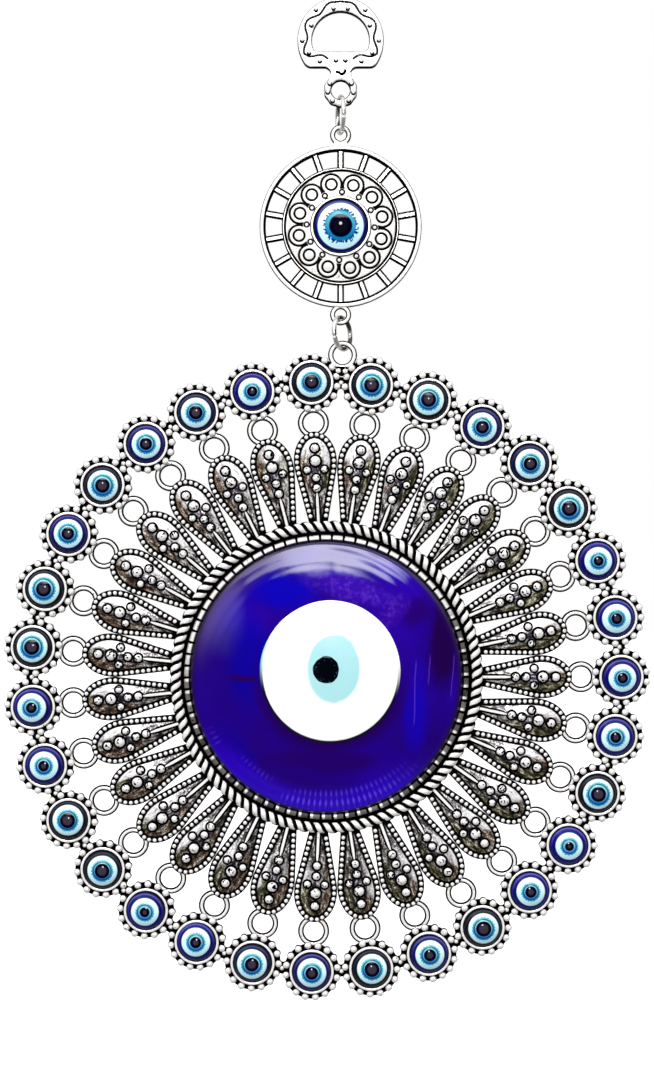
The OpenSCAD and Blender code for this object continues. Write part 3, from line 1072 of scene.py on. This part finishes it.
def petal_plate():
    """One petal, straight up from the middle of the pendant."""
    line = resampled(bead_line(), 60)
    along = np.gradient(line, axis=0)
    along[-1] = (-1.0, 0.0)
    along /= np.linalg.norm(along, axis=1)[:, None]
    outward = np.stack([along[:, 1], -along[:, 0]], -1)
    spine = PETAL_ROOT + (line[:, 1] - PETAL_ROOT) * (57.2 - PETAL_ROOT) / (PETAL_TIP - PETAL_ROOT)
    rows = []
    tones = []
    for offset, h, tone in ((0.78, -1.3, 0.3), (0.78, -0.4, 0.4), (0.76, -0.1, 1.0), (0.6, 0.1, 1.0),
                            (-0.60, 0.12, 1.0), (-0.86, 0.28, 1.0), (-0.98, 0.46, 0.55)):
        side = line + offset * outward
        side[:, 0] = np.maximum(side[:, 0], 0.0)
        rows.append(np.column_stack([side, np.full(len(side), h)]))
        tones.append(np.full(len(side), tone))
    edge = rows[-1][:, :2]
    crown = 0.16 * np.maximum(edge[:, 0],
                              0.35 * np.linalg.norm(edge - np.column_stack([0 * spine, spine]), axis=1))
    for share in (0.06, 0.2, 0.38, 0.58, 0.79, 1.0):
        flat = edge * (1 - share) + np.column_stack([np.zeros(len(spine)), spine]) * share
        h = 0.46 + crown * (1 - (1 - share) ** 2)
        rows.append(np.column_stack([flat, h]))
        tones.append(np.full(len(spine), 0.2 if share < 0.1 else 0.0))
    rows = np.stack(rows, 1)
    tones = np.stack(tones, 1)
    mirrored = rows[:, -2::-1] * np.array([-1.0, 1.0, 1.0])
    back = np.column_stack([np.zeros(len(spine)), spine, np.full(len(spine), -1.3)])[:, None]
    loops = np.concatenate([rows, mirrored, back], 1)
    loop_tones = np.concatenate([tones, tones[:, -2::-1], np.full((len(spine), 1), 0.5)], 1)
    shape = Shape()
    loft(shape, loops, loop_tones, cap_end=False)
    return shape


def petal_spike():
    """Bright spike that runs in from the lowest granule, between two dark lines."""
    shape = Shape()
    for half, lift, shades in ((0.80, 0.20, (1.0, 1.0, 1.0)), (0.36, 0.44, (1.0, 0.5, 0.0))):
        loops = []
        for at in np.linspace(PETAL_ROOT + 0.2, 46.9, 10):
            w = half * math.sqrt(min(1.0, (47.2 - at) / 1.6))
            h = float(field_height(0.0, at)) + 0.06 + lift
            loops.append([(-w, at, 0.0), (-w, at, h - 0.12), (-0.72 * w, at, h), (0.72 * w, at, h),
                          (w, at, h - 0.12), (w, at, 0.0)])
        tones = [shades[0], shades[1], shades[2], shades[2], shades[1], shades[0]]
        loft(shape, loops, np.array(tones))
    return shape


def petal_beads():
    line = bead_line()
    run = np.concatenate([[0.0], np.cumsum(np.linalg.norm(np.diff(line, axis=0), axis=1))])
    one = bead(BEAD_R, 0.3, -0.3, 12, 6, 1.0, 0.60)
    step = 1.42
    shape = Shape()
    for k in range(17):
        at = run[-1] - step * (k + 0.5)
        u = np.interp(at, run, line[:, 0])
        v = np.interp(at, run, line[:, 1])
        for side in (-1, 1):
            shape.add_shape(one, 0.0, (side * u, v, 0.0))
    return shape


def petal_granules():
    shape = Shape()
    for u, v, radius in ((0, 58.4, 1.12), (0, 55.1, 1.4), (-2.2, 52.9, 0.92), (2.2, 52.9, 0.92),
                         (0, 50.8, 1.0), (0, 48.15, 1.05)):
        floor = float(field_height(u, v))
        skirt = Shape()
        turned(skirt, [(0, 0, 1), (radius + 0.38, 0, 1), (radius + 0.36, floor + 0.22, 1),
                       (radius, floor + 0.32, 1), (0, floor + 0.32, 1)], 24)
        shape.add_shape(skirt, 0.0, (u, v, 0.0))
        shape.add_shape(bead(radius, floor + 0.12, 0.0, 20, 8, 0.9, 0.44), 0.0, (u, v, 0.0))
    return shape


def round_the_petals(template):
    """A copy of the template on the axis of each petal."""
    shape = Shape()
    for i in range(PETALS):
        shape.add_shape(template, (i + 0.5) * PITCH, number=i)
    return shape


# ---------------------------------------------------------------- rim of cups and links

def cup_casting():
    shape = Shape()
    turned(shape, [(0, BACK_H, 0.35), (6.95, BACK_H, 0.3), (7.1, BACK_H + 0.15, 0.3), (7.1, -0.6, 0.35),
                   (7.08, -0.35, 1.0), (6.95, -0.2, 1.0), (5.72, -0.1, 1.0), (5.70, 0.6, 1.0),
                   (5.66, 1.1, 0.8), (5.58, 1.34, 0.0), (5.34, 1.44, 0.0), (5.10, 1.38, 0.0),
                   (5.0, 1.2, 0.4), (5.03, 0.9, 1.0), (5.03, -0.3, 1.0), (0, -0.3, 1.0)], 64,
           (0.0, CUPS_AT))
    return shape


def cup_beads():
    shape = Shape()
    one = bead(0.93, 0.12, BACK_H + 0.15, 14, 6, 0.95, 0.40)
    for k in range(16):
        turn = TURN * (k + 0.5) / 16
        shape.add_shape(one, 0.0, (6.6 * math.sin(turn), CUPS_AT + 6.6 * math.cos(turn), 0.0))
    return shape


def link_ring():
    lean = TURN * np.arange(20) / 20
    radius = 3.26 + 0.74 * np.cos(lean)
    height = -0.55 + 0.65 * np.sin(lean)
    front = np.sin(lean) > 0
    # Black inner and outer sides on the front: painted shade
    tone = np.where(front, smooth(0.30, 0.56, np.abs(np.cos(lean))), 0.7)
    shape = Shape()
    ring(shape, radius, height, tone, 48, (0.0, LINK_AT))
    return shape


def make_rim():
    cups = round_the_petals(cup_casting())
    bridge = Shape()
    block(bridge, (-0.9, 73.6, BACK_H), (0.9, 76.6, -0.5), 1.0)
    bridge.add_shape(bead(0.6, -0.1, -0.6, 12, 4, 0.9, 0.34), 0.0, (0.0, 75.1, 0.0))
    for i in range(PETALS):
        cups.add_shape(bridge, i * PITCH)
    piece("cup_castings", cups, *CASTING, ["stone_cups"])
    piece("cup_beads", round_the_petals(cup_beads()), *CASTING)
    piece("link_ring_castings", round_the_petals(link_ring()), *CASTING)

    loop = Shape()
    lean = TURN * np.arange(16) / 16
    # Black inner and outer sides of the wire: painted shade
    edge = smooth(0.50, 0.76, np.abs(np.cos(lean)))
    ring(loop, 3.0 + 0.7 * np.cos(lean), 0.7 * np.sin(lean), edge, 72, (0.0, LOOP_AT))
    block(loop, (-1.5, 76.8, -0.9), (1.5, LOOP_AT - 2.7, 0.75), 1.0, 0.3)
    for u, v in ((2.15, 79.6), (-2.15, 79.6), (0.85, 78.1), (-0.85, 78.1)):
        loop.add_shape(bead(0.78, 0.3, -0.9, 14, 5, 0.9, 0.36), 0.0, (u, v, 0.0))
    piece("pendant_loop", loop, PENDANT, "pendant", BRIGHT, "bright_silver")


def make_stones():
    for i in range(PETALS):
        turn = (i + 0.5) * PITCH
        centre = (CUPS_AT * math.sin(turn), CUPS_AT * math.cos(turn))
        # Most prints have a large pupil, a few a small one
        pupil = 0.37 - 0.18 * rng.random() ** 2
        outer = 0.60 + 0.5 * pupil + rng.uniform(-0.015, 0.015)
        iris = pupil + rng.uniform(0.19, 0.25)
        drift = rng.uniform(-0.2, 0.2, 2)
        # The smaller the pupil, the bluer and wider the outer ring
        shade = float(smooth(0.36, 0.26, pupil)) * rng.uniform(0.8, 1.0)
        shape = Shape()
        dome(shape, centre, STONE_R - 0.02, -0.28, 1.0, 3.6, 24, 64)
        number = f"{i + 1:02d}"
        piece(f"rim_eye_{number}", shape, PENDANT, "pendant", RESIN, "eye_resin", [f"rim_stone_{number}"],
              spot=(centre[0] + drift[0], centre[1] + drift[1], STONE_R, shade),
              bands=(outer, iris, pupil))


# ---------------------------------------------------------------- setting, rope and glass

def make_setting():
    shape = Shape()
    turned(shape, [(0, BACK_H, 0.35), (37.0, BACK_H, 0.35), (37.2, BACK_H + 0.2, 0.8), (37.2, -0.62, 1.0),
                   (0, -0.62, 1.0)], 256)
    teeth = 74
    per_tooth = 12
    count = teeth * per_tooth
    phase = (np.arange(count) % per_tooth) / per_tooth
    notch = smooth(0.80, 0.84, phase) * smooth(1.0, 0.96, phase)
    steps = [(36.35, -0.9, 1.0, 0.0), (36.35, 1.2, 1.0, 0.0), (36.28, 1.6, 0.7, 0.4),
             (36.1, 1.86, 0.42, 1.0), (35.85, 2.05, 0.30, 1.0), (35.6, 2.16, 0.12, 1.0),
             (35.35, 2.2, 0.0, 1.0), (35.12, 2.1, 0.0, 1.0), (35.0, 1.8, 0.1, 0.6),
             (34.97, -0.9, 1.0, 0.0)]
    # Teeth are a little uneven; the lower half is darker, a painted shade, but for the tooth ends, which
    # are painted highlights
    tooth = np.arange(count) // per_tooth
    uneven = rng.uniform(-1.0, 1.0, teeth)[tooth]
    low = smooth(0.55, 0.10, np.cos(TURN * np.arange(count) / count + 0.26))
    end = smooth(0.52, 0.60, phase) * smooth(0.84, 0.78, phase)
    darkness = low * (0.56 + 0.06 * uneven) * (1 - end)
    radius = np.array([[r] * count for r, _, _, _ in steps])
    height = np.array([h - cut * (0.75 * notch + 0.06 * uneven) for _, h, _, cut in steps])
    tone = np.array([np.maximum(np.maximum(t, darkness), notch * (cut > 0)) for _, _, t, cut in steps])
    ring(shape, radius, height, tone, count)
    piece("setting_cup", shape, *CASTING, ["glass_setting"])


def make_rope():
    count = 1188
    rows = 20
    around = TURN * np.arange(count) / count
    lean = TURN * np.arange(rows)[:, None] / rows
    phase = 99 * around[None] - 2.0 * lean
    groove = ((1 - np.cos(phase)) / 2) ** 2.5
    swell = ROPE_R * (1 - 0.26 * groove)
    radius = ROPE_AT + swell * np.cos(lean)
    height = ROPE_H + swell * np.sin(lean)
    tone = np.clip(smooth(0.16, 0.46, groove) + smooth(-0.1, -0.6, np.sin(lean)) * 0.5
                   + 1.0 * smooth(0.80, 0.96, np.abs(np.cos(lean))), 0.0, 1.0)
    shape = Shape()
    ring(shape, radius, height, tone, count)
    floor_low = BACK_H
    floor_high = -0.2
    ring(shape, [39.6, 39.6, 36.9, 36.9], [floor_low, floor_high, floor_high, floor_low],
         [1.0, 1.0, 1.0, 0.4], 256)
    piece("rope_border", shape, *CASTING, ["petal_collar"], crease=60)


def glass_height(reach):
    """Height of the glass over its seat, from the middle out to its rolled edge."""
    share = np.clip(np.asarray(reach, float) / GLASS_R, 0.0, 1.0)
    roll = np.clip((share - 0.965) / 0.035, 0.0, 1.0)
    return 2.0 + 5.0 * (1 - share ** 2.3) - 1.2 * (1 - np.sqrt(1 - roll ** 2))


def hand_waves(u, v):
    """Slight unevenness of glass that was poured and pressed by hand."""
    reach = np.hypot(u, v)
    swell = 0.05 * np.sin(u / 5.1 + 1.3 * np.sin(v / 9.0)) * np.sin(v / 6.3 + 0.8 * np.sin(u / 7.7))
    ripple = 0.02 * np.sin(u / 2.3 + v / 3.9)
    edge = 0.018 * smooth(26, 31, reach) * np.sin(2.6 * reach + u / 7.0)
    return swell + ripple + edge


def glass_layer(shape, centre, half_u, half_v, raise_by, edge_drop, rough, steps, count, low):
    """Drop of glass that follows the dome, from the rounded edge to its middle."""
    turn = TURN * np.arange(count) / count
    wave = 1 + rough * (np.sin(3 * turn + 0.6) + 0.6 * np.sin(5 * turn + 2.1)
                        + 0.45 * np.sin(11 * turn + 4.0))
    rows = []
    for k, share in enumerate([1.0] + list(np.linspace(1.0, 0.02, steps) ** 0.8)):
        u = centre[0] + half_u * share * wave * np.sin(turn)
        v = centre[1] + half_v * share * wave * np.cos(turn)
        base = glass_height(np.hypot(u, v)) + hand_waves(u, v)
        bulge = raise_by - edge_drop * (1 - math.sqrt(max(0.0, 1 - max(0.0, (share - 0.93) / 0.07) ** 2)))
        height = base + (low if k == 0 else bulge)
        rows.append(np.stack([u, v, height], -1))
    rows = np.stack(rows)
    middle_h = float(glass_height(np.hypot(*centre)))
    poles = [[centre[0], centre[1], middle_h + low], [centre[0], centre[1], middle_h + raise_by]]
    shape.add(np.concatenate([rows.reshape(-1, 3), poles]), skin(len(rows), count), 0.0)


def make_glass():
    count = 256
    radii = np.concatenate([np.linspace(GLASS_R, GLASS_R * 0.96, 10), np.linspace(GLASS_R * 0.95, 0.6, 52)])
    turn = TURN * np.arange(count) / count
    u = radii[:, None] * np.sin(turn)
    v = radii[:, None] * np.cos(turn)
    height = glass_height(radii)[:, None] + hand_waves(u, v)
    front = np.stack([u, v, height], -1)
    back = np.stack([u[0], v[0], np.full(count, -0.58)], -1)[None]
    rows = np.concatenate([back, front])
    poles = [[0, 0, -0.58], [0, 0, float(glass_height(0.0)) + float(hand_waves(0.0, 0.0))]]
    shape = Shape()
    shape.add(np.concatenate([rows.reshape(-1, 3), poles]), skin(len(rows), count), 0.0)
    piece("glass_dome", shape, PENDANT, "pendant", COBALT, "cobalt_glass", ["eye_glass"],
          spot=(0, 0, GLASS_R, 0))

    layers = (("white_disc", (0.9, 1.55), WHITE_R, WHITE_R + 0.3, 0.3, 0.25, 0.0022,
               WHITE, "white_glass", "eye_white"),
              ("iris_drop", (1.7, 2.55), 7.1, 9.3, 0.36, 0.10, 0.004,
               AQUA, "aqua_glass", "eye_iris"),
              ("pupil_drop", (-0.2, 2.1), 3.3, 3.45, 0.52, 0.15, 0.018,
               BLACK, "black_glass", "eye_pupil"))
    for name, centre, half_u, half_v, lift, drop, rough, material, slot, node in layers:
        shape = Shape()
        glass_layer(shape, centre, half_u, half_v, lift, drop, rough, 24, 144, -0.2)
        made = piece(name, shape, PENDANT, "pendant", material, slot, [node], spot=(*centre, half_u, 0))
        stretch = half_u / half_v
        for mark in made.data.attributes["spot"].data:
            mark.vector[1] *= stretch


# ---------------------------------------------------------------- stage, light and camera

def make_stage():
    """Pale, evenly bright floor well under the ornament."""
    half = 4.0
    floor_z = -0.30
    mesh = bpy.data.meshes.new("floor")
    mesh.from_pydata([(-half, -half, floor_z), (half, -half, floor_z), (half, half, floor_z),
                      (-half, half, floor_z)], [], [(0, 1, 2, 3)])
    looks = Looks("pale_floor")
    looks.set(Base_Color=(0.9, 0.9, 0.9, 1.0), Roughness=0.9, Specular_IOR_Level=0.0,
              Emission_Color=(1.0, 1.0, 1.0, 1.0), Emission_Strength=0.5)
    mesh.materials.append(looks.material)
    floor = bpy.data.objects.new("floor", mesh)
    floor.visible_glossy = False
    floor.visible_diffuse = False
    bpy.context.scene.collection.objects.link(floor)


def area_light(name, location, target, width, height, radiance, colour=(1.0, 1.0, 1.0)):
    light = bpy.data.lights.new(name, "AREA")
    light.shape = "RECTANGLE"
    light.size = width
    light.size_y = height
    light.energy = radiance * math.pi * width * height
    light.color = colour
    lamp = bpy.data.objects.new(name, light)
    lamp.location = location
    lamp.rotation_mode = "QUATERNION"
    lamp.rotation_quaternion = (target - lamp.location).to_track_quat("-Z", "Y")
    lamp.visible_camera = False
    lamp.visible_glossy = False
    bpy.context.scene.collection.objects.link(lamp)


def make_lights():
    centre = middle("glass_setting")

    def at(azimuth, elevation, distance):
        a = math.radians(azimuth)
        e = math.radians(elevation)
        return centre + distance * Vector((math.sin(a) * math.cos(e), -math.cos(a) * math.cos(e),
                                           math.sin(e)))

    # Soft lamps that give the tone; the reflections come from the painted studio round them
    area_light("key", at(-12, 42, 0.9), centre, 0.7, 0.35, 4.6)
    area_light("left_fill", at(-38, 8, 0.9), centre, 0.4, 0.5, 3.0)
    area_light("right_fill", at(34, 4, 0.9), centre, 0.4, 0.5, 2.6)

    world = bpy.data.worlds.new("soft_studio")
    bpy.context.scene.world = world
    world.use_nodes = True
    world.node_tree.nodes.clear()
    nodes = Nodes(world.node_tree)
    around = nodes.where("Generated")
    x, y, z = nodes.split(around)
    wave = (nodes.noise(9.0, 3.0, around) - 0.5) * 0.1
    walls = nodes.ramp(z * 0.5 + 0.5,
                       [(0.2, (0.1, 0.095, 0.09, 1.0)), (0.45, (0.04, 0.04, 0.045, 1.0)),
                        (0.66, (0.25, 0.25, 0.27, 1.0)), (1.0, (1.2, 1.2, 1.2, 1.0))])
    walls = nodes.mix(nodes.step(y, -0.30, 0.30), walls, (0.55, 0.55, 0.55, 1.0))
    # Dark opening straight ahead of the ornament, where the camera stands
    apart = nodes.length(x / 0.75, z / 0.6)
    opening = nodes.step(apart, 1.1, 0.8) * nodes.step(y, 0.0, -0.2)
    walls = nodes.mix(opening, walls, (0.015, 0.015, 0.02, 1.0))
    # Long soft window above it, brightest in the middle, that fades to the left
    front = nodes.step(y, 0.0, -0.15)
    rise = z + wave
    window = nodes.step(rise, 0.4, 0.47) * nodes.step(z, 0.8, 0.66)
    corner = z + x * 0.5
    window = window * front * nodes.step(corner, 0.67, 0.58)
    span = x + wave * 0.6
    bright = nodes.step(span, -0.45, -0.05, 0.0, 7.4) * nodes.step(span, 0.42, 0.34)
    dull = nodes.step(span, -0.64, -0.4, 0.0, 1.2) * nodes.step(span, 0.42, 0.34)
    strength = window * (bright + dull)
    # Dim screen at the left
    screen = nodes.step(x, -0.34, -0.46, 0.0, 0.8) * nodes.step(z, 0.0, 0.3)
    strength = strength + screen * front * nodes.step(x, -0.8, -0.62)
    # Small lamp a little above the camera, seen only as the glint in each stone's pupil
    glint = nodes.length(x, z - 0.18)
    glint = nodes.step(glint, 0.08, 0.05, 0.0, 34.0) * front
    strength = strength + glint
    window_light = nodes.node("Background", {}, {"Color": (1.0, 0.985, 1.0, 1.0), "Strength": strength})
    wall_light = nodes.node("Background", {}, {"Color": walls})
    studio = nodes.node("AddShader", {}, {0: window_light, 1: wall_light})
    backdrop = nodes.node("Background", {}, {"Color": (1.0, 1.0, 1.0, 1.0)})
    camera_ray = nodes.node("LightPath", {}, {}, "Is Camera Ray")
    choose = nodes.node("MixShader", {}, {0: camera_ray, 1: studio, 2: backdrop})
    nodes.put(nodes.tree.nodes.new("ShaderNodeOutputWorld").inputs[0], choose)


def make_camera():
    """Straight on, from far enough that the front shows with almost no perspective."""
    data = bpy.data.cameras.new("camera")
    data.lens = 100
    data.sensor_width = 36
    data.clip_start = 0.01
    data.clip_end = 50
    camera = bpy.data.objects.new("camera", data)
    frame_height = 0.2754
    low_z = cad_low.z
    camera.location = (MEDALLION.x - 3.47 * MM, -frame_height * data.lens / data.sensor_width,
                       low_z + 0.11750)
    camera.rotation_euler = (math.radians(90), 0, 0)
    bpy.context.scene.collection.objects.link(camera)
    bpy.context.scene.camera = camera


make_camera()
make_lights()
make_stage()
make_hanger()
make_jump_ring("upper_wire_ring", "upper_ring", "upper_ring_swing", "upper_jump_ring", 4.6, 9.6, 0.0)
make_medallion()
make_jump_ring("lower_wire_ring", "lower_ring", "lower_ring_swing", "lower_jump_ring", 4.1, -30.0, -5.6)
make_setting()
make_rope()
piece("petal_plates", round_the_petals(petal_plate()), PENDANT, "pendant", FIELD, "antique_silver",
      weld=True, keep_marks=True)
piece("petal_spikes", round_the_petals(petal_spike()), *CASTING)
piece("petal_beads", round_the_petals(petal_beads()), *CASTING)
piece("petal_granules", round_the_petals(petal_granules()), PENDANT, "pendant", GRANULE, "antique_silver")
make_rim()
make_stones()
make_glass()

bpy.context.scene.view_settings.view_transform = "Standard"
